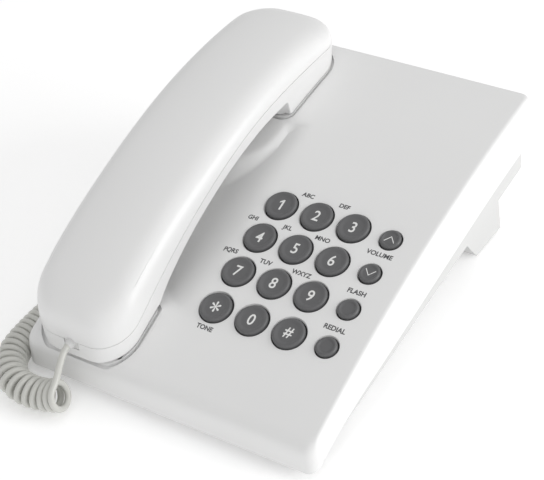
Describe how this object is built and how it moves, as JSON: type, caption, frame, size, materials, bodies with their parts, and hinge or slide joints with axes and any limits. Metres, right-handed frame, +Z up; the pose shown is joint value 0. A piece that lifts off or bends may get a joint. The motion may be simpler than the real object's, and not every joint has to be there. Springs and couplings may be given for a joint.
{
  "type": "corded landline phone",
  "caption": "Corded desk telephone: wedge base with a push-button pad, an arched handset in a side cradle, a rear stand, and a coiled handset cord.",
  "frame": {"origin": "middle of the base's footprint, on the desk surface that the rubber feet stand on", "axes": "+Z up, +Y from the front edge towards the back, +X to the right as the user faces the phone"},
  "size_m": [0.1714, 0.2307, 0.093],
  "materials": {
    "case_plastic": "moulded white plastic with a satin gloss",
    "handset_plastic": "moulded white plastic, glossy",
    "key_plastic": null,
    "hook_plastic": "moulded white plastic",
    "foot_rubber": "black rubber pads",
    "membrane_rubber": "grey silicone",
    "screw_steel": "zinc plated",
    "weight_iron": "bare iron bar",
    "board": "green solder mask",
    "component_plastic": "black moulded parts",
    "switch_plastic": "dark grey knobs",
    "spring_steel": "spring wire",
    "contact_brass": "plated contacts",
    "capsule_metal": "thin metal cans",
    "ringer_plastic": "black moulded sounder",
    "jack_plastic": "pale moulded jack",
    "plug_clear": "clear to milky modular plug",
    "cord_pvc": "warm light grey cord jacket"
  },
  "bodies": {
    "base": {"upper_case": "case_plastic", "lower_case": "case_plastic", "desk_stand": "case_plastic", "front_feet": "foot_rubber", "rear_feet": "foot_rubber", "keypad_membrane": "membrane_rubber", "case_screws": "screw_steel", "main_pcb": "board", "keypad_pcb": "board", "pcb_components": "component_plastic", "hook_microswitch": "component_plastic", "ringer_switch_body": "component_plastic", "dial_mode_switch_body": "component_plastic", "hook_spring": "spring_steel", "line_jack_contacts": "contact_brass", "ringer_sounder": "ringer_plastic", "line_jack": "jack_plastic", "base_handset_jack": "jack_plastic", "plug_base_end": "plug_clear", "cord_coil": "cord_pvc", "cord_tail_base": "cord_pvc"},
    "handset": {"handset_back_shell": "handset_plastic", "handset_front_shell": "handset_plastic", "handset_receiver": "capsule_metal", "handset_microphone": "capsule_metal", "handset_weight": "weight_iron", "handset_jack": "jack_plastic", "handset_screws": "screw_steel", "plug_handset_end": "plug_clear", "cord_tail_handset": "cord_pvc"},
    "hook": {"hook_plunger": "hook_plastic"},
    "ringer_knob": {"ringer_switch_knob": "switch_plastic"},
    "mode_knob": {"dial_mode_switch_knob": "switch_plastic"},
    "key_1": {"key_1": "key_plastic"},
    "key_2": {"key_2": "key_plastic"},
    "key_3": {"key_3": "key_plastic"},
    "key_4": {"key_4": "key_plastic"},
    "key_5": {"key_5": "key_plastic"},
    "key_6": {"key_6": "key_plastic"},
    "key_7": {"key_7": "key_plastic"},
    "key_8": {"key_8": "key_plastic"},
    "key_9": {"key_9": "key_plastic"},
    "key_star": {"key_star": "key_plastic"},
    "key_0": {"key_0": "key_plastic"},
    "key_hash": {"key_hash": "key_plastic"},
    "key_volume_up": {"key_volume_up": "key_plastic"},
    "key_volume_down": {"key_volume_down": "key_plastic"},
    "key_flash": {"key_flash": "key_plastic"},
    "key_redial": {"key_redial": "key_plastic"}
  },
  "joints": [
    {"name": "handset_lift", "type": "slide", "parent": "base", "child": "handset", "axis": [0, -0.2534, 0.9673], "range_m": [0, 0.05]},
    {"name": "hook_switch", "type": "slide", "parent": "base", "child": "hook", "axis": [0, 0, 1], "range_m": [0, 0.004], "deforming": ["hook_spring"]},
    {"name": "ringer_level", "type": "slide", "parent": "base", "child": "ringer_knob", "axis": [1, 0, 0], "range_m": [0, 0.006]},
    {"name": "dial_mode", "type": "slide", "parent": "base", "child": "mode_knob", "axis": [1, 0, 0], "range_m": [0, 0.003]},
    {"name": "key_1_press", "type": "slide", "parent": "base", "child": "key_1", "axis": [0, -0.2957, 0.9553], "range_m": [-0.0012, 0], "stiffness_N_per_m": 400},
    {"name": "key_2_press", "type": "slide", "parent": "base", "child": "key_2", "axis": [0, -0.2957, 0.9553], "range_m": [-0.0012, 0], "stiffness_N_per_m": 400},
    {"name": "key_3_press", "type": "slide", "parent": "base", "child": "key_3", "axis": [0, -0.2957, 0.9553], "range_m": [-0.0012, 0], "stiffness_N_per_m": 400},
    {"name": "key_4_press", "type": "slide", "parent": "base", "child": "key_4", "axis": [0, -0.2957, 0.9553], "range_m": [-0.0012, 0], "stiffness_N_per_m": 400},
    {"name": "key_5_press", "type": "slide", "parent": "base", "child": "key_5", "axis": [0, -0.2957, 0.9553], "range_m": [-0.0012, 0], "stiffness_N_per_m": 400},
    {"name": "key_6_press", "type": "slide", "parent": "base", "child": "key_6", "axis": [0, -0.2957, 0.9553], "range_m": [-0.0012, 0], "stiffness_N_per_m": 400},
    {"name": "key_7_press", "type": "slide", "parent": "base", "child": "key_7", "axis": [0, -0.2957, 0.9553], "range_m": [-0.0012, 0], "stiffness_N_per_m": 400},
    {"name": "key_8_press", "type": "slide", "parent": "base", "child": "key_8", "axis": [0, -0.2957, 0.9553], "range_m": [-0.0012, 0], "stiffness_N_per_m": 400},
    {"name": "key_9_press", "type": "slide", "parent": "base", "child": "key_9", "axis": [0, -0.2957, 0.9553], "range_m": [-0.0012, 0], "stiffness_N_per_m": 400},
    {"name": "key_star_press", "type": "slide", "parent": "base", "child": "key_star", "axis": [0, -0.2957, 0.9553], "range_m": [-0.0012, 0], "stiffness_N_per_m": 400},
    {"name": "key_0_press", "type": "slide", "parent": "base", "child": "key_0", "axis": [0, -0.2957, 0.9553], "range_m": [-0.0012, 0], "stiffness_N_per_m": 400},
    {"name": "key_hash_press", "type": "slide", "parent": "base", "child": "key_hash", "axis": [0, -0.2957, 0.9553], "range_m": [-0.0012, 0], "stiffness_N_per_m": 400},
    {"name": "key_volume_up_press", "type": "slide", "parent": "base", "child": "key_volume_up", "axis": [0, -0.2957, 0.9553], "range_m": [-0.0012, 0], "stiffness_N_per_m": 400},
    {"name": "key_volume_down_press", "type": "slide", "parent": "base", "child": "key_volume_down", "axis": [0, -0.2957, 0.9553], "range_m": [-0.0012, 0], "stiffness_N_per_m": 400},
    {"name": "key_flash_press", "type": "slide", "parent": "base", "child": "key_flash", "axis": [0, -0.2957, 0.9553], "range_m": [-0.0012, 0], "stiffness_N_per_m": 400},
    {"name": "key_redial_press", "type": "slide", "parent": "base", "child": "key_redial", "axis": [0, -0.2957, 0.9553], "range_m": [-0.0012, 0], "stiffness_N_per_m": 400}
  ],
  "couplings": [
    {"joint": "hook_switch", "follows": "handset_lift", "ratio": 0.08}
  ]
}
